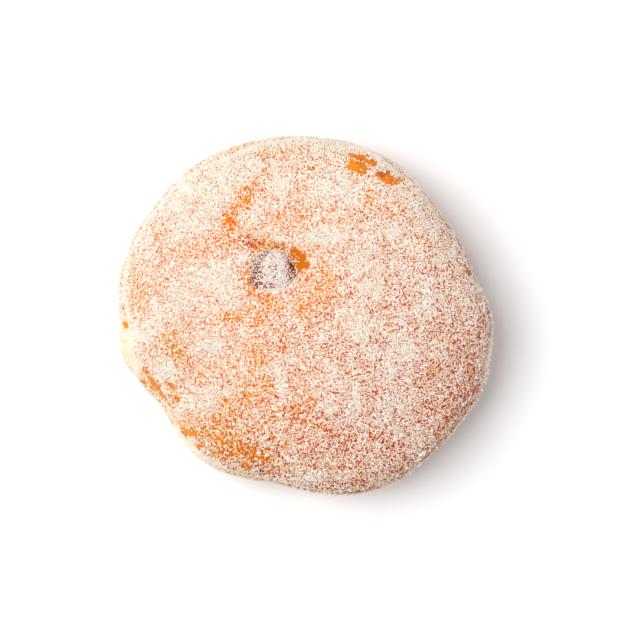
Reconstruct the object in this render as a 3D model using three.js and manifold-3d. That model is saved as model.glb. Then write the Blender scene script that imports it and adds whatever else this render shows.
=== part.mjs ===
// A sugared, jelly filled yeast doughnut: a puck of fried dough with a domed crown, a pale waist and a rounder
// belly, and the jelly that stands in the hole through which it was filled.
// Millimetres, +Z up. The origin is on the table, under the middle of the doughnut's outline.
import * as THREE from "three";
import { ImprovedNoise } from "three/addons/math/ImprovedNoise.js";
import { mergeVertices } from "three/addons/utils/BufferGeometryUtils.js";
import Module from "manifold-3d";

// ---- Sizes -----------------------------------------------------------------------------------------------------

// The outline seen from above: a mean radius, a slight oval, and the places where it is flatter or fuller.
const MEAN_RADIUS = 42.0;
const OVAL = { by: 1.3, towards: -25 };
const FLATS_AND_SWELLS = [
  { at: 13, by: -2.2, over: 12 },
  { at: 35, by: -2.6, over: 16 },
  { at: 126, by: 0.5, over: 10 },
  { at: 168, by: 0.5, over: 14 },
  { at: 191, by: 1.0, over: 6.5 },
  { at: 213, by: -2.5, over: 13 },
  { at: 260, by: -2.6, over: 16 },
  { at: 292, by: 0.5, over: 9 },
  { at: 319, by: -1.0, over: 12 },
];

// The side view, from the table up.
const HEIGHT = 40; // to the top of the crown
const WAIST_LOW = 12; // the belly ends here
const WAIST_HIGH = 20; // and the crown starts here
const BELLY_SINK = 1.5; // how far the belly's round form is pressed flat against the table
// A quarter of the side view is a superellipse: share ** out + lift ** up = 1. With 2 and 2 it is an ellipse, and a
// greater `out` makes the top flatter and its shoulder rounder.
const BELLY_POWERS = { out: 2.15, up: 2.15 };
const CROWN_POWERS = { out: 3.0, up: 2.0 };
const WAIST_BULGE = 0.4; // the pale band is a little rounded
const WAIST_SWAY = [
  { waves: 1, by: 0.9, turn: 20 },
  { waves: 3, by: 0.5, turn: 50 },
]; // the band isn't quite level all the way round

// How far the belly stands out past the crown's edge, all round and where the crown has slipped.
const APRON = 0.5;
const APRON_PLACES = [
  { at: 57, by: 1.1, over: 7 },
  { at: 120, by: 0.9, over: 16 },
  { at: 187, by: 2.5, over: 14 },
  { at: 206, by: 0.7, over: 8 },
  { at: 300, by: 0.5, over: 14 },
  { at: 345, by: 0.8, over: 14 },
];
const CREASE = { deep: 0.6, high: WAIST_HIGH - 0.2, wide: 1.8 }; // the fold under the crown's edge

// Soft unevenness of the fried skin: each layer of noise has a wavelength and a height.
const SKIN = [
  { length: 21, by: 1.5, seed: 3.7 },
  { length: 8.5, by: 0.6, seed: 11.3 },
];
const SKIN_FADE = 3.5; // the unevenness fades out over this height above the table
const SKIN_SIDEWAYS = 0.4; // and the outline gets this share of it

// Dents in the crown: the pucker at the filling hole and its two tails, a rubbed shoulder at the lower left, and a
// shoulder at the right that sagged; and one place where the shoulder is fuller.
const DENTS = [
  { x: -7.5, y: 11, deep: 1.7, over: 8.5 },
  { x: -9.5, y: 1.5, deep: 0.8, over: 5 },
  { x: -13.5, y: 23, deep: 1.0, over: 6.5 },
  { x: -22, y: -28, deep: 0.8, over: 8 },
  { x: 35, y: -17, deep: 2.4, over: 12 },
  { x: 27, y: 21, deep: -1.1, over: 9 },
];

// The filling hole: rings of the dough's wall from the mouth down. Heights are from the skin at the hole.
const HOLE = { x: -6.8, y: 10.1 };
const HOLE_RINGS = [
  { z: 2.6, x: 1.6, y: 1.3, rx: 7.6, ry: 6.0 },
  { z: 0.8, x: 1.1, y: 0.8, rx: 6.7, ry: 5.2 },
  { z: -0.9, x: 0.6, y: 0.3, rx: 5.8, ry: 4.8 },
  { z: -2.6, x: -0.2, y: -0.1, rx: 4.8, ry: 4.4 },
  { z: -8.5, x: -0.1, y: 0.0, rx: 4.3, ry: 4.0 },
  { z: -13.0, x: 0.0, y: 0.0, rx: 3.2, ry: 3.1 },
];
const HOLE_WOBBLE = [
  { waves: 2, by: 0.05, turn: 40 },
  { waves: 3, by: 0.06, turn: 95 },
  { waves: 5, by: 0.035, turn: 10 },
];
const HOLE_SIDES = 40;

// The jelly: it fills the hole up to a lumpy dome just under the mouth.
const JELLY_GAP = 0.35;
const JELLY_SHOULDER = -2.1; // where the dome meets the wall
const JELLY_TOP = -0.4; // the middle of the dome
const JELLY_LUMPS = { length: 3.1, by: 0.9, seed: 5.1 };
const JELLY_RINGS = 9;

// Faces: the crown and the belly are discs of RINGS rings, and ring number n has 6 n corners.
const RINGS = 25;
const BAND_SHARES = [0.22, 0.44, 0.62, 0.78, 0.9]; // rows between the belly and the crown
const PROFILE_STEPS = 60;

// ---- Helpers ---------------------------------------------------------------------------------------------------

const noise = new ImprovedNoise();
const radians = THREE.MathUtils.degToRad;
const smooth = THREE.MathUtils.smoothstep;

/** A soft hump of height `by` at angle `at`, in degrees, that fades over `over` degrees. */
function hump(degrees, { at, by, over }) {
  const off = THREE.MathUtils.euclideanModulo(degrees - at + 180, 360) - 180;
  return by * Math.exp(-((off / over) ** 2));
}

const sum = (values) => values.reduce((total, value) => total + value, 0);

/** The outline's radius at an angle in degrees. */
function outline(degrees) {
  const oval = OVAL.by * Math.cos(2 * radians(degrees - OVAL.towards));
  return MEAN_RADIUS + oval + sum(FLATS_AND_SWELLS.map((place) => hump(degrees, place)));
}

/** How far the crown's edge stands inside the outline. */
function apron(degrees) {
  return APRON + sum(APRON_PLACES.map((place) => hump(degrees, place)));
}

/** How far the waist lies above or below its mean height. */
function sway(degrees) {
  return sum(WAIST_SWAY.map(({ waves, by, turn }) => by * Math.cos(waves * radians(degrees - turn))));
}

/** A quarter superellipse from its pole to its rim: share of the radius, and share of the height. */
function quarter({ out, up }, steps) {
  return Array.from({ length: steps + 1 }, (_, step) => {
    const angle = (step / steps) * (Math.PI / 2);
    return [Math.sin(angle) ** (2 / out), Math.cos(angle) ** (2 / up)];
  });
}

/** Rows evenly spaced along a half of the side view, pole first: { share of the radius, height }. */
function rows(powers, heightOf) {
  const points = quarter(powers, PROFILE_STEPS).map(
    ([share, lift]) => new THREE.Vector2(share * MEAN_RADIUS, heightOf(lift)),
  );
  const spaced = new THREE.SplineCurve(points).getSpacedPoints(RINGS);
  return spaced.map((point) => ({ share: point.x / MEAN_RADIUS, z: Math.max(0, point.y) }));
}

/** A point of the smooth form, before the skin's unevenness. */
function formPoint(degrees, share, z) {
  const inCrown = smooth(z, (WAIST_LOW + WAIST_HIGH) / 2, WAIST_HIGH + 1);
  const fold = CREASE.deep * Math.exp(-(((z - CREASE.high) / CREASE.wide) ** 2));
  const reach = share * (outline(degrees) - apron(degrees) * inCrown - fold);
  const angle = radians(degrees);
  const atWaist = share ** 4 * Math.sin((Math.PI * z) / HEIGHT) ** 2;
  return new THREE.Vector3(reach * Math.cos(angle), reach * Math.sin(angle), z + sway(degrees) * atWaist);
}

/** Moves a point of the form along the form's own slope, by the noise of the skin and by the dents. */
function withSkin(point, facing) {
  const fade = smooth(point.z, 0, SKIN_FADE);
  let lift = sum(
    SKIN.map(({ length, by, seed }) => {
      const { x, y, z } = point;
      return by * noise.noise(x / length + seed, y / length + seed, z / length + seed);
    }),
  );
  if (facing.z > 0) {
    lift -= sum(DENTS.map(({ x, y, deep, over }) => {
      const away = Math.hypot(point.x - x, point.y - y);
      return deep * Math.exp(-((away / over) ** 2));
    }));
  }
  const sideways = new THREE.Vector3(SKIN_SIDEWAYS, SKIN_SIDEWAYS, 1);
  return facing.clone().multiply(sideways).multiplyScalar(lift * fade).add(point);
}

/** The way the skin faces at a point: mostly up on the crown, outwards at the waist, down on the belly. */
function facingOf(point, share) {
  const out = new THREE.Vector3(point.x, point.y, 0);
  out.setLength(share ** 3);
  const middle = (WAIST_LOW + WAIST_HIGH) / 2;
  const up = Math.sign(point.z - middle) * Math.sqrt(Math.max(0, 1 - share ** 6));
  return new THREE.Vector3(out.x, out.y, up);
}

/** Collects corners and faces, and turns them into a geometry. */
class Shell {
  corners = [];
  faces = [];

  add(point) {
    this.corners.push(point.x, point.y, point.z);
    return this.corners.length / 3 - 1;
  }

  /** A band of faces between two rows with the same number of corners. */
  join(lower, upper) {
    lower.forEach((corner, index) => {
      const next = (index + 1) % lower.length;
      this.faces.push(corner, lower[next], upper[next]);
      this.faces.push(corner, upper[next], upper[index]);
    });
  }

  /** Faces between ring n, of 6 n corners, and ring n + 1. */
  joinRings(inner, outer, faceDown) {
    const sectors = 6;
    const ring = outer.length / sectors;
    const put = (a, b, c) => this.faces.push(...(faceDown ? [a, c, b] : [a, b, c]));
    for (let sector = 0; sector < sectors; sector++) {
      const innerAt = (step) => inner[(sector * (ring - 1) + step) % inner.length];
      const outerAt = (step) => outer[(sector * ring + step) % outer.length];
      for (let step = 0; step < ring; step++) {
        put(innerAt(step), outerAt(step), outerAt(step + 1));
        if (step < ring - 1) put(innerAt(step), outerAt(step + 1), innerAt(step + 1));
      }
    }
  }

  /** A fan that closes a row. */
  close(row, middle, faceDown) {
    row.forEach((corner, index) => {
      const next = row[(index + 1) % row.length];
      this.faces.push(...(faceDown ? [middle, next, corner] : [middle, corner, next]));
    });
  }

  geometry() {
    const made = new THREE.BufferGeometry();
    made.setAttribute("position", new THREE.Float32BufferAttribute(this.corners, 3));
    made.setIndex(this.faces);
    return made;
  }
}

// ---- The dough -------------------------------------------------------------------------------------------------

/** A ring of corners at one row of the side view. */
function ringOf(shell, count, { share, z }) {
  return Array.from({ length: count }, (_, index) => {
    const degrees = (360 * index) / count;
    const point = formPoint(degrees, share, z);
    return shell.add(withSkin(point, facingOf(point, share)));
  });
}

/** The crown or the belly: a middle corner and rings that grow by six corners each. */
function disc(shell, sideRows, faceDown) {
  let inner = null;
  sideRows.forEach((row, number) => {
    const ring = ringOf(shell, Math.max(1, 6 * number), row);
    if (number === 1) shell.close(ring, inner[0], faceDown);
    if (number > 1) shell.joinRings(inner, ring, faceDown);
    inner = ring;
  });
  return inner;
}

function doughForm() {
  const shell = new Shell();
  const bellyDepth = WAIST_LOW + BELLY_SINK;
  const belly = disc(shell, rows(BELLY_POWERS, (lift) => WAIST_LOW - lift * bellyDepth), true);
  const crown = disc(shell, rows(CROWN_POWERS, (lift) => WAIST_HIGH + lift * (HEIGHT - WAIST_HIGH)), false);
  let below = belly;
  for (const share of BAND_SHARES) {
    const bulge = (WAIST_BULGE * Math.sin(Math.PI * share)) / MEAN_RADIUS;
    const z = THREE.MathUtils.lerp(WAIST_LOW, WAIST_HIGH, share);
    const row = ringOf(shell, below.length, { share: 1 + bulge, z });
    shell.join(below, row);
    below = row;
  }
  shell.join(below, crown);
  return shell.geometry();
}

/** The height of the crown over a place, from the same form and skin. */
function crownHeight(x, y) {
  const degrees = THREE.MathUtils.radToDeg(Math.atan2(y, x));
  const share = Math.hypot(x, y) / (outline(degrees) - apron(degrees));
  const lift = (1 - share ** CROWN_POWERS.out) ** (1 / CROWN_POWERS.up);
  const z = WAIST_HIGH + (HEIGHT - WAIST_HIGH) * lift;
  const point = formPoint(degrees, share, z);
  return withSkin(point, facingOf(point, share)).z;
}

// ---- The hole and the jelly ------------------------------------------------------------------------------------

/** The hole's uneven outline: 1 is its mean radius. */
function wobble(angle) {
  return 1 + sum(HOLE_WOBBLE.map(({ waves, by, turn }) => by * Math.cos(waves * (angle - radians(turn)))));
}

/** A ring of the hole's wall, taken in by a gap and scaled about its middle. */
function holeRing(shell, ring, surface, { gap = 0, scale = 1, lift = () => 0 } = {}) {
  return Array.from({ length: HOLE_SIDES }, (_, index) => {
    const angle = (index / HOLE_SIDES) * 2 * Math.PI;
    const reach = wobble(angle) * scale;
    const x = HOLE.x + ring.x + (ring.rx - gap) * reach * Math.cos(angle);
    const y = HOLE.y + ring.y + (ring.ry - gap) * reach * Math.sin(angle);
    return shell.add(new THREE.Vector3(x, y, surface + ring.z + lift(x, y)));
  });
}

/** The wall's ring at any height, between the rings that are given. */
function ringAt(z) {
  const below = HOLE_RINGS.findIndex((ring) => ring.z <= z);
  const [high, low] = [HOLE_RINGS[below - 1], HOLE_RINGS[below]];
  const share = (z - low.z) / (high.z - low.z);
  const mix = (key) => THREE.MathUtils.lerp(low[key], high[key], share);
  return { z, x: mix("x"), y: mix("y"), rx: mix("rx"), ry: mix("ry") };
}

/** What the filling nozzle took out of the dough. */
function holeForm(surface) {
  const shell = new Shell();
  const rings = HOLE_RINGS.map((ring) => holeRing(shell, ring, surface));
  rings.slice(1).forEach((ring, index) => shell.join(ring, rings[index]));
  const floor = HOLE_RINGS.at(-1);
  const mouth = HOLE_RINGS[0];
  const at = (ring) => shell.add(new THREE.Vector3(HOLE.x + ring.x, HOLE.y + ring.y, surface + ring.z));
  shell.close(rings[0], at(mouth), false);
  shell.close(rings.at(-1), at(floor), true);
  return shell.geometry();
}

function jellyForm(surface) {
  const shell = new Shell();
  const floor = HOLE_RINGS.at(-1);
  const foot = { ...floor, z: floor.z + JELLY_GAP };
  const walls = [foot, HOLE_RINGS.at(-2), HOLE_RINGS.at(-3), ringAt(JELLY_SHOULDER)];
  const lumps = (x, y) => {
    const { length, by, seed } = JELLY_LUMPS;
    return by * noise.noise(x / length + seed, y / length + seed, seed);
  };
  const bottom = shell.add(new THREE.Vector3(HOLE.x + foot.x, HOLE.y + foot.y, surface + foot.z));
  let below = null;
  for (const ring of walls) {
    const row = holeRing(shell, ring, surface, { gap: JELLY_GAP });
    if (below) shell.join(below, row);
    else shell.close(row, bottom, true);
    below = row;
  }
  const shoulder = walls.at(-1);
  for (let number = 1; number < JELLY_RINGS; number++) {
    const scale = 1 - number / JELLY_RINGS;
    const domed = JELLY_TOP + (JELLY_SHOULDER - JELLY_TOP) * scale ** 2.5;
    const calm = 1 - scale ** 4;
    const lift = (x, y) => lumps(x, y) * calm;
    const row = holeRing(shell, { ...shoulder, z: domed }, surface, { gap: JELLY_GAP, scale, lift });
    shell.join(below, row);
    below = row;
  }
  const [x, y] = [HOLE.x + shoulder.x, HOLE.y + shoulder.y];
  shell.close(below, shell.add(new THREE.Vector3(x, y, surface + JELLY_TOP + lumps(x, y))), false);
  return shell.geometry();
}

// ---- Cutting and assembling ------------------------------------------------------------------------------------

const wasm = await Module();
wasm.setup();

function solidOf(geometry) {
  const merged = mergeVertices(geometry);
  return new wasm.Manifold(
    new wasm.Mesh({
      numProp: 3,
      vertProperties: merged.attributes.position.array,
      triVerts: new Uint32Array(merged.index.array),
    }),
  );
}

function geometryOf(solid) {
  const mesh = solid.getMesh();
  const made = new THREE.BufferGeometry();
  made.setAttribute("position", new THREE.BufferAttribute(mesh.vertProperties, 3));
  made.setIndex(new THREE.BufferAttribute(mesh.triVerts, 1));
  made.computeVertexNormals();
  return made;
}

function doughnut() {
  const surface = crownHeight(HOLE.x, HOLE.y);
  const dough = geometryOf(solidOf(doughForm()).subtract(solidOf(holeForm(surface))));
  const jelly = geometryOf(solidOf(jellyForm(surface)));

  const crust = new THREE.MeshStandardMaterial({ color: "#e0b48c", roughness: 0.85, metalness: 0 });
  const filling = new THREE.MeshStandardMaterial({ color: "#8d5a55", roughness: 0.45, metalness: 0 });
  const doughMesh = new THREE.Mesh(dough, crust);
  doughMesh.name = "dough";
  const jellyMesh = new THREE.Mesh(jelly, filling);
  jellyMesh.name = "jelly";

  // The origin goes under the middle of the outline.
  dough.computeBoundingBox();
  const middle = dough.boundingBox.getCenter(new THREE.Vector3());
  const group = new THREE.Group();
  group.add(doughMesh, jellyMesh);
  group.position.set(-middle.x, -middle.y, 0);
  return group;
}

export default doughnut();
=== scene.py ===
# %% [markdown]
# # A sugared jelly doughnut
#
# This lesson dresses a plain solid model of a jelly filled doughnut. The model, called the frame, gives the
# form of two pieces: the dough, with the hole through which it was filled, and the jelly that stands in
# that hole. The looks are ours to make: fried skin with wrinkles and pores, a pale waist, sticky jelly, and
# above all the coat of sugar, which is tens of thousands of real little crystals and not a picture of them.

# %% Load the frame
import math

import bpy
import bmesh
import numpy as np
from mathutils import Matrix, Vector, noise


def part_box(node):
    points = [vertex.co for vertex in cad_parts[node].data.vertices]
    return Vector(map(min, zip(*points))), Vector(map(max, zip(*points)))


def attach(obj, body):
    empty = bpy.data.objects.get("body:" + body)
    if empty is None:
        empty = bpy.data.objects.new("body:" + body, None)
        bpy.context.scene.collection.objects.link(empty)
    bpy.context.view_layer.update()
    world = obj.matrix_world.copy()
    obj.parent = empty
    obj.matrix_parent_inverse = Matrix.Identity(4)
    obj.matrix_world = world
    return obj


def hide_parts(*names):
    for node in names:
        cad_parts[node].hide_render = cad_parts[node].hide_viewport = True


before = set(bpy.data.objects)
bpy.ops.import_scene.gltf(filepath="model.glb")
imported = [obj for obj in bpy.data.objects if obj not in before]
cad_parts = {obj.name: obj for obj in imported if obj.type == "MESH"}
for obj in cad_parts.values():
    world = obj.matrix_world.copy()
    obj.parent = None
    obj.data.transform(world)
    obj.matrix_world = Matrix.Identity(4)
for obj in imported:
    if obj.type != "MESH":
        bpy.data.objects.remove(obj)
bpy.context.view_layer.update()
MM = 0.001

dough_low, dough_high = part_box("dough")
jelly_low, jelly_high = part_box("jelly")
dough_size = dough_high - dough_low
print("dough", [round(side / MM, 1) for side in dough_size], "mm")

# %% [markdown]
# ## The studio
#
# The doughnut lies on a white table and is looked at from straight above. A long lens, about half a metre
# up, keeps the sides from leaning outwards. The width of what it sees, at the height of the waist, is the
# one number that frames the object, so the lens is worked out from it. The height of the waist is a share
# of the doughnut's height.

# %% Camera
WAIST_SHARE = 0.4
VIEW_WIDTH = 147.7 * MM
CAMERA_ABOVE_WAIST = 490 * MM
CAMERA_OVER = Vector((3.5 * MM, -0.8 * MM, 0))
SENSOR_WIDTH = 36
NEAREST_SEEN = 0.01

waist_height = WAIST_SHARE * dough_high.z
camera_data = bpy.data.cameras.new("camera")
camera_data.sensor_width = SENSOR_WIDTH
camera_data.lens = SENSOR_WIDTH * CAMERA_ABOVE_WAIST / VIEW_WIDTH
camera_data.clip_start = NEAREST_SEEN
camera = bpy.data.objects.new("camera", camera_data)
camera.location = CAMERA_OVER + Vector((0, 0, waist_height + CAMERA_ABOVE_WAIST))
bpy.context.scene.collection.objects.link(camera)
bpy.context.scene.camera = camera
print("lens", round(camera_data.lens, 1), "mm")

# %% [markdown]
# The light is a bright day by a window: one wide soft lamp from the left, a little behind, a much weaker
# one low from the right, and an even white world that fills the shadows. White sugar on a white table is a
# bright scene, so the plain "Standard" view keeps the whites white.

# %% Light
LAMP_AWAY = 1.3
LAMPS = [
    # name, azimuth and elevation in degrees, size in metres, power in watts
    ("window", 165, 64, 0.9, 16.6),
    ("far_window", 355, 30, 0.9, 6.8),
]
WORLD_COLOUR = (0.95, 0.98, 1.0, 1)
WORLD_STRENGTH = 0.22

bpy.context.scene.view_settings.view_transform = "Standard"
world = bpy.data.worlds.new("studio")
world.use_nodes = True
background = world.node_tree.nodes["Background"]
background.inputs["Color"].default_value = WORLD_COLOUR
background.inputs["Strength"].default_value = WORLD_STRENGTH
bpy.context.scene.world = world


def lamp(name, azimuth, elevation, size, power):
    data = bpy.data.lights.new(name, "AREA")
    data.shape = "DISK"
    data.size = size
    data.energy = power
    around, up = math.radians(azimuth), math.radians(elevation)
    level = LAMP_AWAY * math.cos(up)
    made = bpy.data.objects.new(name, data)
    made.location = (level * math.cos(around), level * math.sin(around), LAMP_AWAY * math.sin(up))
    made.rotation_euler = made.location.to_track_quat("Z", "Y").to_euler()
    bpy.context.scene.collection.objects.link(made)


for settings in LAMPS:
    lamp(*settings)
print(len(LAMPS), "lamps")

# %% [markdown]
# ## Sums in node trees
#
# Materials and Geometry Nodes are both trees of nodes, and both have Math nodes. Wiring those by hand hides
# the sum that they make. So a socket is wrapped in a small class that knows +, -, * and the rest, and a sum
# is written as a sum: `1 - mask` adds one Math node. Every other node comes from one method, which takes
# the node's type, its settings and what goes into its sockets.

# %% Helper: node trees as Python expressions
class Value:
    """An output socket that can be used in sums."""

    def __init__(self, net, socket):
        self.net = net
        self.socket = socket

    def __add__(self, other):
        return self.net.math("ADD", self, other)

    def __sub__(self, other):
        return self.net.math("SUBTRACT", self, other)

    def __rsub__(self, other):
        return self.net.math("SUBTRACT", other, self)

    def __mul__(self, other):
        return self.net.math("MULTIPLY", self, other)

    def __truediv__(self, other):
        return self.net.math("DIVIDE", self, other)

    def __rtruediv__(self, other):
        return self.net.math("DIVIDE", other, self)

    def sibling(self, name):
        """Another output of the same node."""
        return Value(self.net, self.socket.node.outputs[name])

    __radd__ = __add__
    __rmul__ = __mul__


class Net:
    """A node tree, and the one way in which nodes get into it."""

    def __init__(self, tree):
        self.tree = tree

    def node(self, kind, settings=None, sockets=None, out=0):
        """Adds a node and gives the output that is asked for, by name or number."""
        made = self.tree.nodes.new(kind)
        for name, setting in (settings or {}).items():
            setattr(made, name, setting)
        for name, value in (sockets or {}).items():
            self.feed(made.inputs[name], value)
        return Value(self, made.outputs[out]) if len(made.outputs) else made

    def feed(self, socket, value):
        if isinstance(value, Value):
            self.tree.links.new(value.socket, socket)
        else:
            socket.default_value = value

    def math(self, operation, *values):
        return self.node("ShaderNodeMath", {"operation": operation}, dict(enumerate(values)))

    def vector(self, operation, *values):
        return self.node("ShaderNodeVectorMath", {"operation": operation}, dict(enumerate(values)))

    def scaled(self, vector, factor):
        return self.node("ShaderNodeVectorMath", {"operation": "SCALE"}, {0: vector, "Scale": factor})

    def noise(self, point, length, detail=2.0, roughness=0.5):
        """Smooth noise from 0 to 1 whose lumps are about `length` across, in the point's own units."""
        sockets = {"Vector": point, "Scale": 1 / length, "Detail": detail, "Roughness": roughness}
        return self.node("ShaderNodeTexNoise", {}, sockets)

    def ease(self, value, start, end):
        """0 below start, 1 above end, and a soft step between."""
        sockets = {"Value": value, "From Min": start, "From Max": end}
        return self.node("ShaderNodeMapRange", {"interpolation_type": "SMOOTHSTEP"}, sockets)


print("node helpers ready")

# %% [markdown]
# ## Where the sugar lies
#
# Sugar clings to the crown unevenly. It was rubbed off a few bare spots, lies thin in streaks and soft
# patches, and lies thick in others. Those places are given one by one, not by a rule, so they are lists of
# spots: middle, reach along and across, and turn, in millimetres and degrees from the doughnut's own middle,
# seen from above. To keep them from looking like ovals, the points are pushed about by noise before they are
# measured against the spots.

# %% Bare, thin and thick spots of the sugar coat
BARE_SPOTS = [
    (11.8, 33.3, 2.7, 1.5, -25),
    (12.7, 35.4, 3.2, 0.7, -22),
    (15.2, 34.1, 1.3, 0.9, -20),
    (18.5, 30.8, 3.2, 1.6, -18),
    (37.0, 9.8, 0.7, 0.9, 0),
    (-41.0, -2.0, 0.9, 0.9, 0),
    (-36.0, -12.5, 1.1, 0.9, -50),
    (-37.0, -15.6, 1.5, 0.4, -50),
    (-33.4, -16.1, 3.4, 1.1, -56),
    (-29.8, -15.4, 0.8, 0.4, -56),
    (-28.4, -18.6, 0.9, 0.5, -56),
    (-26.9, -26.7, 0.9, 0.7, 0),
    (-24.8, -26.4, 1.1, 0.6, 0),
    (-13.4, -33.9, 1.3, 0.5, -31),
    (-23.3, -29.6, 1.0, 0.6, -30),
    (-9.4, -32.5, 0.9, 0.7, 0),
    (-11.2, 15.4, 1.7, 0.8, -32),
    (-12.4, 25.4, 1.1, 0.7, 80),
    (-16.4, 21.2, 1.1, 0.6, 70),
]
# Here the last number is what the spot adds to the share of skin that is covered, or takes away.
COAT_SPOTS = [
    (-18.4, -28.0, 8.0, 3.2, -33, -0.42),
    (-9.4, -32.0, 4.6, 2.2, -24, -0.20),
    (-27.0, -26.0, 2.4, 1.4, -40, -0.20),
    (-12.8, 26.8, 2.8, 1.5, 55, -0.34),
    (-16.2, 20.6, 3.6, 1.5, 80, -0.36),
    (-21.0, 15.6, 4.6, 1.6, 8, -0.08),
    (-10.6, 16.0, 3.4, 1.6, -20, -0.28),
    (-5.8, 15.0, 1.6, 1.2, 0, -0.44),
    (-37.0, 5.0, 4.4, 1.8, 85, -0.18),
    (-35.6, -0.6, 2.0, 2.0, 60, -0.14),
    (-29.0, -7.2, 3.6, 2.0, -60, -0.30),
    (-24.4, -12.6, 3.2, 1.6, -50, -0.12),
    (-33.6, -16.6, 3.4, 1.2, -56, -0.30),
    (-28.6, -17.8, 3.4, 0.9, -56, -0.22),
    (-32.6, 19.0, 3.0, 2.0, 50, -0.08),
    (-13.6, -19.4, 4.6, 2.6, 20, -0.16),
    (-16.0, -12.6, 3.0, 2.2, 0, -0.08),
    (-2.0, -21.6, 4.4, 2.4, 20, -0.16),
    (-9.8, -9.0, 3.0, 1.8, 0, -0.14),
    (-11.4, 6.6, 4.8, 1.4, -55, -0.18),
    (-11.2, 10.2, 1.8, 3.6, 0, -0.14),
    (4.4, 7.4, 3.6, 3.2, 20, -0.16),
    (2.6, 1.6, 3.4, 2.6, 20, -0.08),
    (18.8, 5.4, 5.0, 0.9, 66, -0.10),
    (-2.4, 36.2, 2.4, 1.8, 0, -0.16),
    (-7.8, 36.4, 2.2, 1.6, 20, -0.14),
    (-1.6, 22.4, 3.0, 2.2, 20, -0.12),
    (13.0, 21.4, 2.0, 2.0, 0, -0.03),
    (4.0, -35.6, 7.0, 3.0, 0, -0.05),
    (33.0, 8.0, 2.6, 3.0, 0, -0.08),
    (34.0, -12.0, 4.6, 9.0, -20, -0.17),
    (-3.7, 7.0, 3.2, 0.7, 28, 0.30),
    (-13.0, 13.0, 1.7, 1.2, 0, 0.26),
    (-22.0, 9.0, 4.8, 2.6, 10, 0.16),
    (-16.0, 5.0, 2.4, 3.0, 0, 0.17),
    (-26.4, 3.4, 3.2, 2.4, 0, 0.14),
    (-36.4, -3.8, 2.8, 2.4, 0, 0.20),
    (-31.2, -12.0, 3.0, 1.6, -45, 0.14),
    (-24.0, -21.6, 3.6, 1.6, -40, 0.16),
    (-21.6, -5.4, 3.2, 2.2, -40, 0.14),
    (-24.6, -30.6, 6.5, 1.6, -39, 0.36),
    (-28.0, 28.0, 7.0, 2.6, 42, 0.14),
    (-20.0, 26.6, 2.4, 2.0, 0, 0.12),
    (-16.0, 33.0, 4.0, 2.4, 20, 0.10),
    (-9.6, 21.2, 2.0, 2.2, 0, -0.04),
    (-4.6, 28.4, 2.4, 2.2, 0, 0.16),
    (3.4, 27.6, 2.4, 2.0, 0, 0.10),
    (10.2, 26.4, 2.4, 2.4, 0, 0.16),
    (4.8, 17.4, 3.2, 1.6, 0, 0.16),
    (20.0, 24.2, 4.6, 3.0, -30, -0.08),
    (1.0, -36.6, 3.6, 1.4, 0, 0.16),
    (12.4, -3.2, 2.4, 2.2, 40, 0.14),
    (23.2, -6.4, 3.2, 3.0, 0, 0.16),
    (5.8, -17.4, 2.2, 4.6, 0, 0.12),
    (19.6, -20.6, 3.2, 3.0, -50, 0.10),
    (26.4, 4.0, 2.6, 2.6, 0, 0.10),
    (22.4, 13.2, 2.6, 2.2, 0, 0.06),
    (28.0, -24.2, 2.4, 1.6, 45, 0.10),
    (14.0, 8.0, 7.0, 7.0, 0, 0.04),
    (17.0, 1.0, 7.0, 7.0, 0, 0.05),
    (-24.0, 24.0, 7.0, 5.0, 40, 0.06),
    (-6.0, -16.0, 14.0, 9.0, 0, 0.04),
    (29.0, 0.0, 7.0, 10.0, 0, -0.06),
    (-24.0, -14.0, 7.0, 6.0, 0, 0.05),
    (2.0, -30.0, 12.0, 5.0, 0, -0.05),
    (-29.6, -2.2, 4.0, 3.8, 0, 0.15),
    (-25.6, -9.0, 3.0, 2.4, 0, 0.06),
    (-25.7, -24.8, 4.0, 2.0, -35, 0.14),
    (-2.6, -36.4, 3.6, 1.5, 0, 0.17),
    (12.4, -18.5, 6.0, 7.6, 0, 0.09),
    (21.2, -10.2, 5.0, 3.0, 0, 0.09),
    (-25.2, 17.0, 2.8, 2.6, 0, 0.07),
    (28.0, -3.2, 4.0, 4.0, 0, 0.05),
    (-7.6, 3.0, 2.2, 1.6, 0, -0.14),
    (-12.0, -1.0, 3.0, 2.4, 0, -0.07),
    (14.6, 27.6, 3.0, 2.6, 0, -0.06),
    (32.2, -21.0, 3.0, 4.0, -40, -0.08),
    (-9.6, -14.8, 3.2, 3.6, 0, -0.12),
    (-14.2, -22.2, 3.0, 2.2, 0, -0.07),
    (-39.0, 11.4, 2.6, 4.0, 0, -0.07),
    (-8.2, -37.0, 2.6, 1.6, -10, -0.08),
    (21.0, -32.4, 3.6, 2.4, 35, -0.07),
]
# Where the crust fried darker, and, as painted shade, a narrow spot on the hole's shaded left wall.
BROWNED_AND_SHADED_SPOTS = [
    (-11.0, -34.8, 1.6, 0.9, -20),
    (-6.8, -36.8, 1.4, 0.9, -10),
    (-11.6, 15.8, 3.0, 2.0, -28),
    (17.6, 31.8, 1.4, 1.2, -18),
    (-11.0, 10.4, 1.4, 4.0, 0),
    (37.0, 9.8, 1.4, 1.6, 0),
]
FAR_OUTSIDE = -9.0
SPOT_FADES_FROM = -0.8
SPOT_FULL_AT = 0.7


def lumps(points, length, seed):
    """Smooth noise from -1 to 1 at each point, with lumps about `length` millimetres across."""
    shift = Vector((seed, 2 * seed, 3 * seed))
    return np.array([noise.noise(Vector(point) / (length * MM) + shift) for point in points])


def pushed(points, length, by, seed):
    """The points in millimetres, pushed about sideways by up to `by`."""
    flat = points[:, :2] / MM
    flat[:, 0] += by * lumps(points, length, seed)
    flat[:, 1] += by * lumps(points, length, seed + 7)
    return flat


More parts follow.
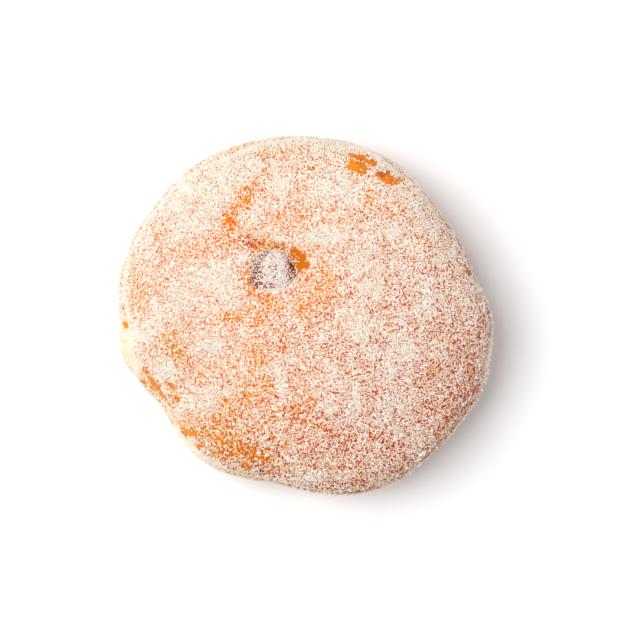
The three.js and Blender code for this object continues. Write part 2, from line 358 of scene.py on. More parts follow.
def spot_depth(flat, spots):
    """How deep in the spots each point lies: 1 in a middle, 0 at an edge and less outside."""
    depth = np.full(len(flat), FAR_OUTSIDE)
    for x, y, along, across, turn in spots:
        east, north = flat[:, 0] - x, flat[:, 1] - y
        cos, sin = math.cos(math.radians(turn)), math.sin(math.radians(turn))
        reach = np.hypot((east * cos + north * sin) / along, (north * cos - east * sin) / across)
        depth = np.maximum(depth, 1 - reach)
    return depth


def step(values, start, end):
    """A soft step from 0 at start to 1 at end."""
    share = np.clip((values - start) / (end - start), 0, 1)
    return share * share * (3 - 2 * share)


def spot_sum(flat, spots):
    """What all the spots together add at each point. Each fades out softly past its edge."""
    total = np.zeros(len(flat))
    for *spot, change in spots:
        total += change * step(spot_depth(flat, [spot]), SPOT_FADES_FROM, SPOT_FULL_AT)
    return total


print(len(BARE_SPOTS), "bare,", len(COAT_SPOTS), "thin or thick,", len(BROWNED_AND_SHADED_SPOTS), "browned spots")

# %% [markdown]
# ## The dough
#
# Risen dough has no facets, and its fried skin is full of small dimples. The frame's dough has the right
# form with faces of two millimetres. A copy of it is rebuilt by Voxel Remesh into even faces of under half
# a millimetre, and Smooth rounds off what is left of the facets. A subdivision surface would round them
# too, but it would pinch at the long thin triangles around the cut hole, and its faces would be uneven,
# which shows as soon as a relief goes on.

# %% Remesh the dough
VOXEL = 0.5 * MM
SMOOTH_ROUNDS = 9
SMOOTH_FACTOR = 0.5
JOIN_WITHIN = 0.001 * MM


def finished(obj, name):
    """The evaluated object's shape as a new plain mesh object. The old one goes."""
    graph = bpy.context.evaluated_depsgraph_get()
    mesh = bpy.data.meshes.new_from_object(obj.evaluated_get(graph), depsgraph=graph)
    mesh.name = name
    made = bpy.data.objects.new(name, mesh)
    bpy.context.scene.collection.objects.link(made)
    bpy.data.objects.remove(obj)
    return made


def merged_copy(node):
    """A copy of a frame node whose loose triangles are joined at their corners."""
    mesh = bpy.data.meshes.new(node + "_form")
    form = bmesh.new()
    form.from_mesh(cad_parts[node].data)
    bmesh.ops.remove_doubles(form, verts=form.verts, dist=JOIN_WITHIN)
    form.to_mesh(mesh)
    form.free()
    copy = bpy.data.objects.new(node + "_form", mesh)
    bpy.context.scene.collection.objects.link(copy)
    return copy


def positions(mesh):
    flat = np.empty(3 * len(mesh.vertices), np.float32)
    mesh.vertices.foreach_get("co", flat)
    return flat.reshape(-1, 3).astype(float)


def normals(mesh):
    flat = np.empty(3 * len(mesh.vertices), np.float32)
    mesh.vertex_normals.foreach_get("vector", flat)
    return flat.reshape(-1, 3).astype(float)


def remeshed(node, voxel, rounds):
    form = merged_copy(node)
    remesh = form.modifiers.new("remesh", "REMESH")
    remesh.mode = "VOXEL"
    remesh.voxel_size = voxel
    soften = form.modifiers.new("soften", "SMOOTH")
    soften.factor = SMOOTH_FACTOR
    soften.iterations = rounds
    return finished(form, node + "_fine")


dough = remeshed("dough", VOXEL, SMOOTH_ROUNDS)
print("dough", len(dough.data.polygons), "faces")

# %% [markdown]
# The same numbers decide where crystals stick, where the crust shows, and what colour it has. They are
# worked out once for each corner of the dough and kept with the mesh as named attributes, which both
# Geometry Nodes and materials can read:
#
# - `cover`: how much sugar clings here, from 0 to 1;
# - `thin`: how thin the coat is, apart from what fell off the steep sides, so that crystals look golden
#   there;
# - `pale`: the waist, where the dough floated above the fat and never browned;
# - `bare`: rubbed spots, where the crust is smooth and glossy;
# - `pit`: the walls of the filling hole, of which the right one caught no sugar;
# - `browned_and_shade`: how brown the crust is, from golden on the window side to brown on the far side and
#   down the hole's wall, which is painted shade, plus a few places that fried darker;
# - `lumpy`: where sugar caked into lumps, at the edge of the side away from the window.

# %% Named attributes on the dough
# The middle of the hole's mouth, and its reach to the right and backwards.
MOUTH = Vector((-5.7, 10.9)) * MM
MOUTH_REACH = (6.7 * MM, 5.2 * MM)
# Azimuths in degrees. A pair, here and below, is where a soft step starts and ends.
# The side away from the window: there the crust is painted browner as painted shade, and sugar cakes into
# lumps.
BROWNER_SHADED_SIDE_TOWARDS = -32
BARE_WALL_TOWARDS = 12
BARE_WALL_HALF_WIDTH = (40, 60)
# Heights over the table in millimetres.
FOOT_ENDS = (0.5, 1.6)
CROWN_STARTS = (12.5, 16.5)
BARE_SPOTS_ABOVE = (13, 15)
HOLE_ABOVE = (22, 25)
# The pale waist in millimetres: its height, how far it goes down from there, and how far out it lies.
WAIST_AT = 15.6
WAIST_GOES_DOWN = (3.0, 5.6)
WAIST_IS_BEYOND = 30
# Where the waist shows higher up: azimuth and half of its width in degrees, and height in millimetres.
PALE_RISES = [(190, 14, 4.5), (230, 14, 3.0), (348, 10, 1.6)]
# The share of skin that sugar covers, apart from spots and noise, and the shares of it that are lost.
CROWN_COVER = 0.83
BELLY_COVER = 0.36
WAIST_COVER = 0.5
LOST_IN_HOLE = 0.2
LOST_ON_BARE_WALL = 0.79
LOST_ON_BARE_SPOT = 0.97


def put_attribute(mesh, name, values):
    attribute = mesh.attributes.new(name, "FLOAT", "POINT")
    attribute.data.foreach_set("value", np.clip(values, 0, 1).astype(np.float32))


def mouth_measures(points):
    """Each point's distance from the middle of the mouth, 1 at its rim, and its azimuth there in radians."""
    east = (points[:, 0] - MOUTH.x) / MOUTH_REACH[0]
    north = (points[:, 1] - MOUTH.y) / MOUTH_REACH[1]
    return np.hypot(east, north), np.arctan2(north, east)


def turned_from(azimuths, towards):
    """The angle in degrees between each azimuth, in radians, and one in degrees."""
    return np.degrees(np.arccos(np.clip(np.cos(azimuths - math.radians(towards)), -1, 1)))


def paleness(points):
    """1 on the pale waist, which climbs at some azimuths, and 0 on the browned crown and belly."""
    height = points[:, 2] / MM
    reach = np.hypot(points[:, 0], points[:, 1]) / MM
    around = np.arctan2(points[:, 1], points[:, 0])
    rise = 0
    for towards, half, up in PALE_RISES:
        rise = rise + up * (1 - step(turned_from(around, towards), 0.4 * half, half))
    above_waist = height - WAIST_AT - 1.6 * lumps(points * (1, 1, 0.2), 15, 8)
    below_crown = 1 - step(above_waist, rise - 1.0, 1.0 + 1.3 * rise)
    above_belly = 1 - step(-above_waist, *WAIST_GOES_DOWN)
    return below_crown * above_belly * (reach > WAIST_IS_BEYOND)


def hole_walls(points):
    """How far each point is in the hole, on its bare right wall, and down its wall, from 0 to 1."""
    from_mouth, around_mouth = mouth_measures(points)
    from_mouth = from_mouth + 0.1 * lumps(points, 1.6, 6)
    in_mouth = step(-from_mouth, -1.06, -0.94) * step(points[:, 2] / MM, *HOLE_ABOVE)
    bare_wall = 1 - step(turned_from(around_mouth, BARE_WALL_TOWARDS), *BARE_WALL_HALF_WIDTH)
    low_wall = step(-np.sin(around_mouth), 0, 0.35)
    below_lip = step(-from_mouth, 0.24 * low_wall - 1.04, 0.24 * low_wall - 0.94)
    bare_wall *= below_lip * step(from_mouth, 0.5, 0.75)
    down_wall = in_mouth * step(-from_mouth, -0.75, -0.4)
    return in_mouth, bare_wall, down_wall


def paint_dough(mesh):
    points = positions(mesh)
    height = points[:, 2] / MM
    north = points[:, 1] / MM
    towards = math.radians(BROWNER_SHADED_SIDE_TOWARDS)
    far = (points[:, 0] * math.cos(towards) + points[:, 1] * math.sin(towards)) / MM
    on_crown = step(height, *CROWN_STARTS)
    roughly = pushed(points, 4.0, 1.6, 3)
    finely = pushed(points, 1.8, 0.9, 5)
    pale = paleness(points)
    in_mouth, bare_wall, down_wall = hole_walls(points)

    bare = step(spot_depth(finely, BARE_SPOTS), -0.15, 0.25) * step(height, *BARE_SPOTS_ABOVE)
    dark_place = step(spot_depth(roughly, BROWNED_AND_SHADED_SPOTS), -0.4, 0.6)
    # Painted shade: browner towards the side away from the window and down the hole's wall, plus darker
    # places, most of which fried darker.
    browned_and_shade = 0.8 * step(far + 6 * lumps(points, 9, 31), -12, 34) + 0.7 * dark_place + 0.6 * down_wall

    facing_up = normals(mesh)[:, 2]
    steep = 1 - np.clip(facing_up, 0, 1)
    overhead = step(facing_up, -0.1, 0.25)
    sparse_edge = (1 - np.clip(facing_up / 0.65, 0.3, 1)) * overhead
    far_side = step(far, -8, 28)

    drift = 0.3 * lumps(points, 7.0, 11) + 0.6 * lumps(points, 3.2, 12) + 0.5 * lumps(points, 1.4, 13)
    crown_cover = CROWN_COVER + 0.22 * drift + spot_sum(0.5 * (roughly + finely), COAT_SPOTS)
    crown_cover += 0.06 * step(north, -12, 12) - 0.08 * step(-north, 12, 30)
    thin = 1 - crown_cover
    crown_cover -= (0.1 + 0.2 * far_side * overhead) * step(steep, 0.2, 0.7)
    belly_cover = BELLY_COVER + 0.25 * drift
    waist_cover = WAIST_COVER + 0.3 * drift
    cover = belly_cover + (crown_cover - belly_cover) * on_crown
    cover = cover + (waist_cover - cover) * pale
    left_in_hole = 1 - in_mouth * (LOST_IN_HOLE + LOST_ON_BARE_WALL * bare_wall)
    cover = cover * (1 - LOST_ON_BARE_SPOT * bare) * left_in_hole
    cover = cover * (1 - (0.15 + 0.6 * far_side) * sparse_edge) * step(height, *FOOT_ENDS)

    put_attribute(mesh, "cover", cover)
    put_attribute(mesh, "thin", thin)
    put_attribute(mesh, "pale", pale)
    put_attribute(mesh, "bare", bare)
    put_attribute(mesh, "pit", in_mouth)
    put_attribute(mesh, "browned_and_shade", browned_and_shade)
    put_attribute(mesh, "lumpy", step(far, 22, 34) * step(steep, 0.45, 0.85) * on_crown)
    print("mean cover", round(float(cover.mean()), 3), "bare", round(float(bare.mean()), 4))


paint_dough(dough.data)

# %% [markdown]
# Now the relief of the skin, with Geometry Nodes: noise pushes each corner in or out along its normal.
# Broad dimples and fine wrinkles share one tree, each with its own length and height as a named input. Real
# relief, rather than a bump in the material, lets the crystals sit in the dimples later, and it stays in
# the mesh.

# %% Geometry Nodes: relief of the fried skin
FLAT_FOOT_ENDS = (0.4 * MM, 2.5 * MM)
DOUGH_RELIEF = {
    "Dimple length": 5.5 * MM,
    "Dimple height": 0.9 * MM,
    "Wrinkle length": 1.5 * MM,
    "Wrinkle height": 0.35 * MM,
}


class Tool(Net):
    """A Geometry Nodes tree with named inputs, which is run on an object as a modifier."""

    def __init__(self, name):
        super().__init__(bpy.data.node_groups.new(name, "GeometryNodeTree"))
        self.tree.interface.new_socket("Geometry", in_out="INPUT", socket_type="NodeSocketGeometry")
        self.tree.interface.new_socket("Geometry", in_out="OUTPUT", socket_type="NodeSocketGeometry")
        self.door = self.tree.nodes.new("NodeGroupInput")
        self.shape = Value(self, self.door.outputs["Geometry"])

    def size(self, name, kind="Float"):
        """A named input of the tree, as a value."""
        self.tree.interface.new_socket(name, in_out="INPUT", socket_type="NodeSocket" + kind)
        return Value(self, self.door.outputs[name])

    def named(self, name):
        """A named attribute of the mesh, as a value."""
        return self.node("GeometryNodeInputNamedAttribute", {"data_type": "FLOAT"}, {"Name": name})

    def draw(self, low, high, seed):
        """A random vector for each point, whose three parts lie between low and high."""
        sockets = {0: (low,) * 3, 1: (high,) * 3, "Seed": seed}
        return self.node("FunctionNodeRandomValue", {"data_type": "FLOAT_VECTOR"}, sockets)

    def chance(self, seed):
        """A random number from 0 to 1 for each point."""
        sockets = {2: 0.0, 3: 1.0, "Seed": seed}
        return self.node("FunctionNodeRandomValue", {"data_type": "FLOAT"}, sockets, 1)

    def end(self, geometry):
        self.node("NodeGroupOutput", {}, {"Geometry": geometry})

    def run(self, obj, sizes):
        """Puts the tree on an object with these sizes."""
        modifier = obj.modifiers.new(self.tree.name, "NODES")
        modifier.node_group = self.tree
        for item in self.tree.interface.items_tree:
            if item.in_out == "INPUT" and item.name in sizes:
                modifier[item.identifier] = sizes[item.name]


def skin_tool():
    tool = Tool("fried_skin")
    dimple_length, dimple_height = tool.size("Dimple length"), tool.size("Dimple height")
    wrinkle_length, wrinkle_height = tool.size("Wrinkle length"), tool.size("Wrinkle height")
    point = tool.node("GeometryNodeInputPosition")
    normal = tool.node("GeometryNodeInputNormal")
    dimples = tool.noise(point, dimple_length, 1.0)
    wrinkles = tool.noise(point, wrinkle_length, 3.0)
    calm = 1 - 0.6 * tool.named("bare")
    lift = (dimples - 0.5) * dimple_height + (wrinkles - 0.5) * wrinkle_height * calm
    height = tool.node("ShaderNodeSeparateXYZ", {}, {0: point}, "Z")
    off_foot = tool.ease(height, *FLAT_FOOT_ENDS)
    push = tool.scaled(normal, lift * off_foot)
    tool.end(tool.node("GeometryNodeSetPosition", {}, {"Geometry": tool.shape, "Offset": push}))
    return tool


skin_tool().run(dough, DOUGH_RELIEF)
dough = finished(dough, "fried_dough")
print("fried dough", len(dough.data.polygons), "faces")

# %% [markdown]
# ## The jelly
#
# The jelly swells up in the hole and has caught sugar from the coat, which drew out its water and set into a
# frosty crust. Its form comes from the frame's plug, rebuilt finely and roughened. The plug stands a hair
# clear of the dough, and real jelly clings to it, so it is swollen until it reaches just into the wall. At
# the lower left it clings up the wall. Its west side, under the hole's shaded left wall, and two spots on its
# left get less sugar and frost, so the dark jelly shows there as painted shade. At the right it has shrunk
# back and left a dark crevice.

# %% Jelly
JELLY_VOXEL = 0.22 * MM
JELLY_SMOOTH_ROUNDS = 4
JELLY_RELIEF = {
    "Dimple length": 2.2 * MM,
    "Dimple height": 2.2 * MM,
    "Wrinkle length": 0.8 * MM,
    "Wrinkle height": 0.6 * MM,
}
SWOLLEN_BY = 1.1 * MM
RIM_RISES = 0.6 * MM
CLINGS_UP = 1.1 * MM
CREVICE_DEEP = 1.5 * MM
# Shares of the jelly's reach where the crevice starts and ends.
CREVICE_SPAN = (0.3, 0.8)
# The crust goes this far down from the top, in millimetres.
CRUST_DOWN_TO = (-6.5, -5.0)
# Azimuths in degrees.
CREVICE_TOWARDS = 16
CLINGS_TOWARDS = 215
# Painted shade on the jelly, where less sugar and frost lie: middle, reach along and across, and turn, as in
# the lists above.
JELLY_SHADE_SPOTS = [
    (-8.2, 6.4, 2.0, 1.1, -20),
    (-9.0, 13.2, 1.6, 0.8, 30),
]

jelly_middle = (jelly_low + jelly_high) / 2
jelly_reach = (jelly_high.x - jelly_low.x) / 2


def swell_jelly(mesh):
    """Presses the jelly into the wall, and gives how far each point is in the crevice, from 0 to 1."""
    points = positions(mesh)
    east, north = points[:, 0] - jelly_middle.x, points[:, 1] - jelly_middle.y
    reach = np.maximum(np.hypot(east, north), 1e-6)
    around = np.arctan2(north, east)
    towards = np.cos(around - math.radians(CREVICE_TOWARDS))
    crevice = step(reach * towards / jelly_reach, *CREVICE_SPAN)
    clinging = step(-turned_from(around, CLINGS_TOWARDS), -95, -60) * step(reach / jelly_reach, 0.7, 1.0)
    outer = step(reach / jelly_reach, 0.5, 0.95) * (1 + 0.6 * lumps(points, 2.4, 41))
    out = (SWOLLEN_BY * outer * (1 - 0.85 * crevice)) / reach
    points[:, 0] += east * out
    points[:, 1] += north * out
    near_top = step(points[:, 2], jelly_low.z + 4 * MM, jelly_high.z - 3 * MM)
    up = RIM_RISES * outer * (1 - crevice) + CLINGS_UP * clinging - CREVICE_DEEP * crevice
    points[:, 2] += up * near_top
    mesh.vertices.foreach_set("co", points.astype(np.float32).ravel())
    mesh.update()
    return crevice


def paint_jelly(mesh, crevice):
    points = positions(mesh)
    from_top = (jelly_high.z - points[:, 2]) / MM
    # Painted shade: the west side, under the hole's shaded left wall, and the shade spots get fewer grains
    # and less frost, so the dark jelly shows there.
    shaded_west = step((jelly_middle.x - points[:, 0]) / jelly_reach, 0.3, 1.0)
    shade_spot = step(spot_depth(points[:, :2] / MM, JELLY_SHADE_SPOTS), -0.5, 0.5)
    crusted = step(-from_top, *CRUST_DOWN_TO) * (1 - 0.88 * crevice)
    crusted = crusted * (1 - 0.5 * shaded_west) * (1 - 0.5 * shade_spot)
    put_attribute(mesh, "cover", crusted * (0.92 + 0.4 * lumps(points, 1.4, 21)))
    put_attribute(mesh, "crusted", crusted * (1 - 0.8 * crevice) * (1 - 0.8 * shaded_west))
    put_attribute(mesh, "bare", np.zeros(len(points)))


jelly = remeshed("jelly", JELLY_VOXEL, JELLY_SMOOTH_ROUNDS)
paint_jelly(jelly.data, swell_jelly(jelly.data))
skin_tool().run(jelly, JELLY_RELIEF)
jelly = finished(jelly, "jelly_in_hole")
print("jelly", len(jelly.data.polygons), "faces")

# %% [markdown]
# ## Materials
#
# A material is a tree of its own. All of them read Object coordinates: the pieces stand at the origin, so
# these are plain positions, and they are turned into millimetres first so that every length below is one.

# %% Helper: a material with a Principled shader
class Finish(Net):
    """A material. What varies over the surface goes into the Principled shader through `feed`."""

    def __init__(self, name):
        self.material = bpy.data.materials.new(name)
        self.material.use_nodes = True
        super().__init__(self.material.node_tree)
        self.shader = self.tree.nodes["Principled BSDF"]
        place = self.node("ShaderNodeTexCoord", {}, {}, "Object")
        self.point = self.scaled(place, 1 / MM)

    def set(self, **constants):
        for name, value in constants.items():
            self.shader.inputs[name.replace("_", " ")].default_value = value

    def into(self, name, value):
        self.feed(self.shader.inputs[name], value)

    def attribute(self, name):
        return self.node("ShaderNodeAttribute", {"attribute_name": name}, {}, "Fac")

    def mix(self, factor, first, second):
        """A colour between two colours."""
        settings = {"data_type": "RGBA", "clamp_factor": True}
        return self.node("ShaderNodeMix", settings, {0: factor, 6: first, 7: second}, 2)

    def bump(self, height, distance):
        return self.node("ShaderNodeBump", {}, {"Height": height, "Distance": distance, "Strength": 1.0})


def linear(share):
    """The light of a colour part that a screen shows, both from 0 to 1."""
    return share / 12.92 if share <= 0.04045 else ((share + 0.055) / 1.055) ** 2.4


def colour(red, green, blue):
    """A colour as a screen shows it, from 0 to 255, as the linear colour that a material wants."""
    return (*[linear(part / 255) for part in (red, green, blue)], 1.0)


print("material helpers ready")

# %% [markdown]
# The crust is golden orange where it fried in the fat, browner in a few places, and cream at the waist. It is
# also painted browner on the side away from the window and down the hole's wall, which is painted shade. In
# the narrow gaps between crystals it is painted darker and redder than where it lies in the open, with darker
# specks: painted shade between the crystals. There too lies sugar dust, too fine to model one by one: a fleck
# pattern, as dense as the sugar is thick, whitens the crust.

# %% Material: fried crust with sugar dust
GOLD = colour(246, 148, 12)
AMBER = colour(214, 100, 12)
BROWN = colour(156, 74, 26)
# Painted shade between the crystals: gap colours darker and redder than the open crust, browner on the side
# away from the window, darkest in specks.
GOLDEN_GAP_SHADE = colour(234, 122, 8)
BROWN_GAP_SHADE = colour(190, 66, 36)
DEEP_GAP_SHADE = colour(168, 52, 22)
HOLE_GOLD = colour(218, 114, 4)
HOLE_BROWN = colour(176, 84, 26)
CREAM = colour(246, 233, 214)
DUST = colour(244, 228, 216)
# Lengths of the noise in millimetres.
BLOTCH = 3.0
PORE = 0.6
SPECK = 0.45
FLECK = 0.42
GRIT = 0.3
GRIT_HEIGHT = 0.12 * MM


def crust_finish():
    finish = Finish("fried_crust")
    cover, pale = finish.attribute("cover"), finish.attribute("pale")
    bare, pit, browned_and_shade = finish.attribute("bare"), finish.attribute("pit"), finish.attribute("browned_and_shade")
    blotches = finish.noise(finish.point, BLOTCH, 3.0, 0.6)
    pores = finish.noise(finish.point, PORE, 2.0, 0.6)
    amber = finish.ease(0.5 * blotches + 0.6 * pores + 0.25 * browned_and_shade, 0.46, 0.72)
    # Partly painted shade: the crust browns on the far side and down the hole, as well as where it fried
    # darker.
    brown = finish.ease(browned_and_shade + 0.5 * (pores - 0.5), 0.5, 0.8) * 0.7
    fried = finish.mix(brown, finish.mix(amber, GOLD, AMBER), BROWN)
    # Painted shade in the gaps between crystals, used wherever sugar covers the crust.
    specks = finish.noise(finish.point, SPECK, 1.0, 0.5)
    gap_shade = finish.mix(browned_and_shade, GOLDEN_GAP_SHADE, BROWN_GAP_SHADE)
    gap_shade = finish.mix(finish.ease(specks + 0.15 * browned_and_shade, 0.5, 0.7) * 0.75, gap_shade, DEEP_GAP_SHADE)
    in_the_open = finish.math("MAXIMUM", finish.ease(bare, 0.2, 0.7), 1 - finish.ease(cover, 0.2, 0.5))
    fried = finish.mix(in_the_open, gap_shade, fried)
    # Deeper down the hole the wall is painted browner: painted shade in the hole.
    hole_wall = finish.mix(finish.ease(blotches + browned_and_shade, 0.75, 1.2), HOLE_GOLD, HOLE_BROWN)
    fried = finish.mix(pit, fried, hole_wall)
    skin = finish.mix(pale * (1 - bare), fried, CREAM)
    flecks = finish.noise(finish.point, FLECK, 2.0, 0.7)
    dusting = finish.ease(flecks + 1.2 * cover, 1.55, 2.0) * 0.25
    finish.into("Base Color", finish.mix(dusting, skin, DUST))
    finish.into("Roughness", 0.45 + 0.4 * dusting + 0.2 * pale)
    grit = finish.noise(finish.point, GRIT, 2.0, 0.6)
    finish.into("Normal", finish.bump(grit * (0.25 + dusting) * (1 - 0.6 * bare), GRIT_HEIGHT))
    finish.set(Specular_IOR_Level=0.12)
    return finish.material


dough.data.materials.clear()
dough.data.materials.append(crust_finish())
print("crust on", dough.name)

# %% [markdown]
# The jelly is dark, wet and red. Where it is crusted, a frost of sugar greys it.

# %% Material: crusted jelly
JELLY_DARK = colour(142, 60, 28)
JELLY_FROST = colour(208, 162, 138)
FROST_FLECK = 0.5


def jelly_finish():
    finish = Finish("set_jelly")
    crusted = finish.attribute("crusted")
    flecks = finish.noise(finish.point, FROST_FLECK, 2.0, 0.6)
    frost = finish.ease(flecks, 0.35, 0.6) * crusted
    finish.into("Base Color", finish.mix(frost, JELLY_DARK, JELLY_FROST))
    finish.into("Roughness", 0.16 + 0.5 * frost)
    return finish.material


jelly.data.materials.clear()
jelly.data.materials.append(jelly_finish())
print("crusted jelly on", jelly.name)

# %% [markdown]
# Sugar crystals are clear, but a heap of them looks white, and a single one takes on the colour of what it
# lies on. So each crystal has its own tint, stored when it was scattered. It goes from frosty white in a heap
# to straw where the coat is thin, or to rose on the side away from the window, and to honey on a bare spot.
# The rose is partly the browner crust beneath and partly painted shade. A soft noise lets the whites wander
# between cool and creamy.

# %% Material: sugar
SUGAR_WHITE = colour(251, 246, 246)
SUGAR_CREAM = colour(251, 249, 240)
SUGAR_STRAW = colour(248, 222, 136)
# Rose for crystals on the side away from the window: partly the browner crust seen through them, partly
# painted shade.
SUGAR_ROSE_SHADE = colour(240, 200, 166)
SUGAR_HONEY = colour(252, 176, 36)
SUGAR_MAUVE = colour(220, 184, 160)
WHITES_WANDER = 0.6


def sugar_finish(name, on_gold, on_brown_side_shade):
    finish = Finish(name)
    creamy = finish.ease(finish.noise(finish.point, WHITES_WANDER, 1.0), 0.35, 0.65)
    white = finish.mix(creamy, SUGAR_WHITE, SUGAR_CREAM)
    deep = finish.mix(finish.attribute("browned_and_shade"), on_gold, on_brown_side_shade)
    deep = finish.mix(finish.attribute("bare"), deep, SUGAR_HONEY)
    finish.into("Base Color", finish.mix(finish.attribute("tint"), white, deep))
    finish.set(Roughness=0.3)
    return finish.material


sugar_material = sugar_finish("sugar", SUGAR_STRAW, SUGAR_ROSE_SHADE)
jelly_sugar_material = sugar_finish("sugar_on_jelly", SUGAR_MAUVE, SUGAR_MAUVE)
print("two sugar materials")

# %% [markdown]
# ## The sugar coat
#
# Granulated sugar is made of little blocks, half a millimetre or less, with some slabs, splinters and
# broken chips among them, and fine shards that fall between. Each kind is scattered by the same Geometry
# Nodes tree. It puts points on the dough that keep a distance from each other, as thickly as `cover` says,
# and lays a crystal on each, turned at random and pressed a little into the skin. A crystal is a block of
# 12 triangles whose corners are knocked about, a wedge of 8 or a shard of 4. Realize Instances turns them
# all into one real mesh.
#
# Over the even coat come crumbs that fill in between, a second layer where the coat is thickest, a few caked
# lumps at the edge of the side away from the window, and the grains on the jelly. They use the same tree with
# other sizes.

# %% Geometry Nodes: scattered crystals
CORNERS = {"block": 8, "wedge": 6, "shard": 4}
SHARD_RADIUS = 0.66
WEDGE_RADIUS = 0.58
# Shares of a crystal's size: how far its corners are knocked, and its least and greatest sides.
KNOCKED = 0.16
SHORTEST = 0.66
LONGEST = 1.3


def crystal_form(tool, form, seed):
    """A crystal of size 1 whose corners are knocked about."""
    if form == "shard":
        size = {"Vertices": 3, "Radius Top": 0.0, "Radius Bottom": SHARD_RADIUS, "Depth": 1.0}
        block = tool.node("GeometryNodeMeshCone", {"fill_type": "NGON"}, size)
    elif form == "wedge":
        size = {"Vertices": 3, "Radius": WEDGE_RADIUS, "Depth": 1.0}
        block = tool.node("GeometryNodeMeshCylinder", {"fill_type": "NGON"}, size)
    else:
        block = tool.node("GeometryNodeMeshCube", {}, {"Size": (1, 1, 1)})
    knocks = tool.draw(-KNOCKED, KNOCKED, seed)
    return tool.node("GeometryNodeSetPosition", {}, {"Geometry": block, "Offset": knocks})


def sugar_tool(name, form, material, where):
    tool = Tool(name)
    density, spacing = tool.size("Grains per square metre"), tool.size("Spacing")
    length, width, thickness = tool.size("Length"), tool.size("Width"), tool.size("Thickness")
    first, last = tool.size("Share from"), tool.size("Share to")
    least, lift, seed = tool.size("Least cover"), tool.size("Lift"), tool.size("Seed", "Int")

    covered = (tool.named(where) - least) / (1 - least)
    sockets = {
        "Mesh": tool.shape,
        "Distance Min": spacing,
        "Density Max": density,
        "Density Factor": covered,
        "Seed": seed,
    }
    by_distance = {"distribute_method": "POISSON"}
    scatter = tool.node("GeometryNodeDistributePointsOnFaces", by_distance, sockets, "Points")
    lifted = tool.scaled(scatter.sibling("Normal"), lift)
    points = tool.node("GeometryNodeSetPosition", {}, {"Geometry": scatter, "Offset": lifted})

    lot = tool.chance(seed + 1)
    of_this_kind = tool.math("GREATER_THAN", lot, first) * tool.math("LESS_THAN", lot, last)
    sides = tool.node("ShaderNodeCombineXYZ", {}, {0: length, 1: width, 2: thickness})
    sockets = {
        "Points": points,
        "Selection": of_this_kind,
        "Instance": crystal_form(tool, form, seed),
        "Rotation": tool.draw(0, math.tau, seed + 10),
        "Scale": tool.vector("MULTIPLY", sides, tool.draw(SHORTEST, LONGEST, seed + 20)),
    }
    grains = tool.node("GeometryNodeInstanceOnPoints", {}, sockets)

    # More tint on the browned side, which is partly painted shade on the side away from the window.
    thinness = 0.35 + 0.75 * tool.ease(tool.named("thin"), 0.08, 0.4) + 0.35 * tool.named("browned_and_shade")
    thinness += tool.named("bare")
    tint = tool.ease(tool.chance(seed + 30), 0.2, 0.9) * thinness
    per_grain = {"data_type": "FLOAT", "domain": "INSTANCE"}
    sockets = {"Geometry": grains, "Name": "tint", "Value": tint}
    tinted = tool.node("GeometryNodeStoreNamedAttribute", per_grain, sockets)
    solid = tool.node("GeometryNodeRealizeInstances", {}, {"Geometry": tinted})
    tool.end(tool.node("GeometryNodeSetMaterial", {}, {"Geometry": solid, "Material": material}))
    return tool


print("crystals have", sorted(CORNERS.values()), "corners")

# %% [markdown]
# A layer is one run of that tree. The even coat is one scatter that six kinds share: the same points, and
# each kind takes the ones whose random number falls in its share. So the crystals of different kinds keep
# their distance too.

# %% Scatter the sugar
SQUARE_MM = 1 / MM**2
# Name, form, share of the coat's grains, and length, width and thickness in millimetres.
KINDS = [
    ("sugar_blocks", "block", 0.12, 0.36, 0.32, 0.28),
    ("sugar_slabs", "block", 0.10, 0.39, 0.30, 0.2),
    ("sugar_cubes", "block", 0.12, 0.31, 0.28, 0.26),
    ("sugar_chips", "wedge", 0.24, 0.36, 0.32, 0.27),
    ("sugar_splinters", "wedge", 0.22, 0.31, 0.25, 0.34),
    ("sugar_shards", "shard", 0.20, 0.38, 0.34, 0.32),
]
# How high a crystal's middle stands over the skin, as a share of its thickness, unless its layer says so.
MIDDLE_STANDS = 0.3


def layer(grains, spacing, least, seed, lift=None):
    """A layer's sizes, from grains for each square millimetre, lengths in millimetres and the least cover."""
    sizes = {
        "Grains per square metre": grains * SQUARE_MM,
        "Spacing": spacing * MM,
        "Least cover": least,
        "Seed": seed,
    }
    if lift is not None:
        sizes["Lift"] = lift * MM
    return sizes


def scattered(base, name, form, sides, sizes, material, shares=(0, 1), where="cover"):
    """One kind of crystal over a base, as a mesh of its own."""
    copy = bpy.data.objects.new(name + "_base", base.data.copy())
    bpy.context.scene.collection.objects.link(copy)
    length, width, thickness = [side * MM for side in sides]
    crystal = {"Length": length, "Width": width, "Thickness": thickness, "Lift": MIDDLE_STANDS * thickness}
    share = {"Share from": shares[0], "Share to": shares[1]}
    sugar_tool(name, form, material, where).run(copy, {**crystal, **share, **sizes})
    made = finished(copy, name)
    print(name, len(made.data.vertices) // CORNERS[form], "grains")
    return made


COAT = layer(45, 0.242, 0.0, 3)
CRUMBS = layer(4, 0.2, 0.2, 30, 0.1)
HEAPS = layer(9, 0.36, 0.9, 50, 0.24)
LUMPS = layer(0.6, 0.8, 0.0, 70, 0.3)
ON_JELLY = layer(40, 0.22, 0.0, 9)
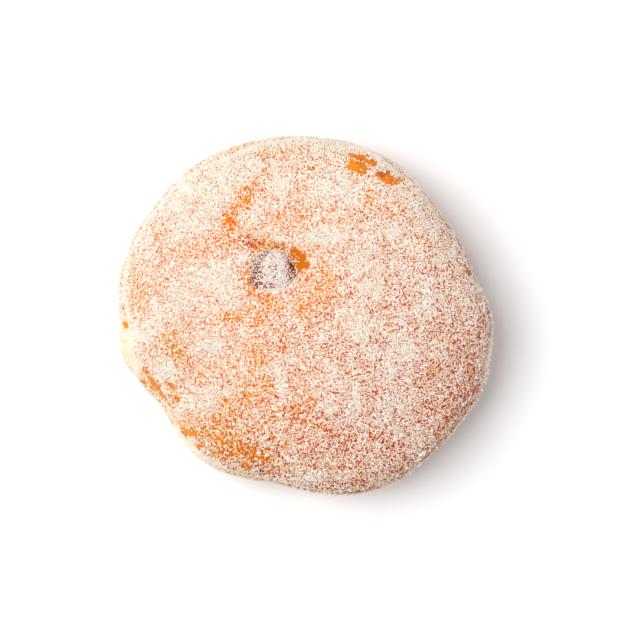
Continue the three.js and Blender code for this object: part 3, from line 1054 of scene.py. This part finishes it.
# What lies over the even coat: name, form, sides in millimetres, sizes, and the attribute that says where.
OVER_THE_COAT = [
    ("sugar_crumbs", "shard", (0.26, 0.24, 0.22), CRUMBS, "cover"),
    ("sugar_heaps", "block", (0.36, 0.32, 0.28), HEAPS, "cover"),
    ("sugar_lumps", "block", (0.6, 0.5, 0.44), LUMPS, "lumpy"),
]

sugar_pieces = []
start = 0.0
for name, form, share, *sides in KINDS:
    shares = (start, start + share)
    sugar_pieces.append(scattered(dough, name, form, sides, COAT, sugar_material, shares))
    start += share
for name, form, sides, sizes, where in OVER_THE_COAT:
    sugar_pieces.append(scattered(dough, name, form, sides, sizes, sugar_material, where=where))
sugar_pieces.append(
    scattered(jelly, "sugar_on_jelly", "block", (0.3, 0.26, 0.22), ON_JELLY, jelly_sugar_material)
)

# %% [markdown]
# ## Putting it together
#
# Every piece rides on the frame's one body. The fine dough and jelly stand for the frame's plain ones, which
# are hidden.

# %% Bodies
def placed(piece, slot, *nodes):
    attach(piece, "root")
    if nodes:
        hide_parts(*nodes)


for piece in (dough, jelly):
    piece.data.polygons.foreach_set("use_smooth", [True] * len(piece.data.polygons))
placed(dough, "crust", "dough")
placed(jelly, "jelly", "jelly")
for piece in sugar_pieces:
    placed(piece, "sugar")
print(2 + len(sugar_pieces), "pieces")

# %% [markdown]
# The table is a plain white sheet that runs out of sight.

# %% Table
TABLE_SIDE = 6.0
TABLE_MOTTLES = 40.0
table_mesh = bpy.data.meshes.new("table")
half = TABLE_SIDE / 2
table_corners = [(-half, -half, 0), (half, -half, 0), (half, half, 0), (-half, half, 0)]
table_mesh.from_pydata(table_corners, [], [(0, 1, 2, 3)])
table = bpy.data.objects.new("table", table_mesh)
bpy.context.scene.collection.objects.link(table)
table_finish = Finish("white_table")
mottles = table_finish.noise(table_finish.point, TABLE_MOTTLES, 2.0)
table_white = table_finish.mix(mottles, colour(249, 249, 250), colour(251, 251, 251))
table_finish.into("Base Color", table_white)
table_finish.set(Roughness=0.6)
table.data.materials.append(table_finish.material)
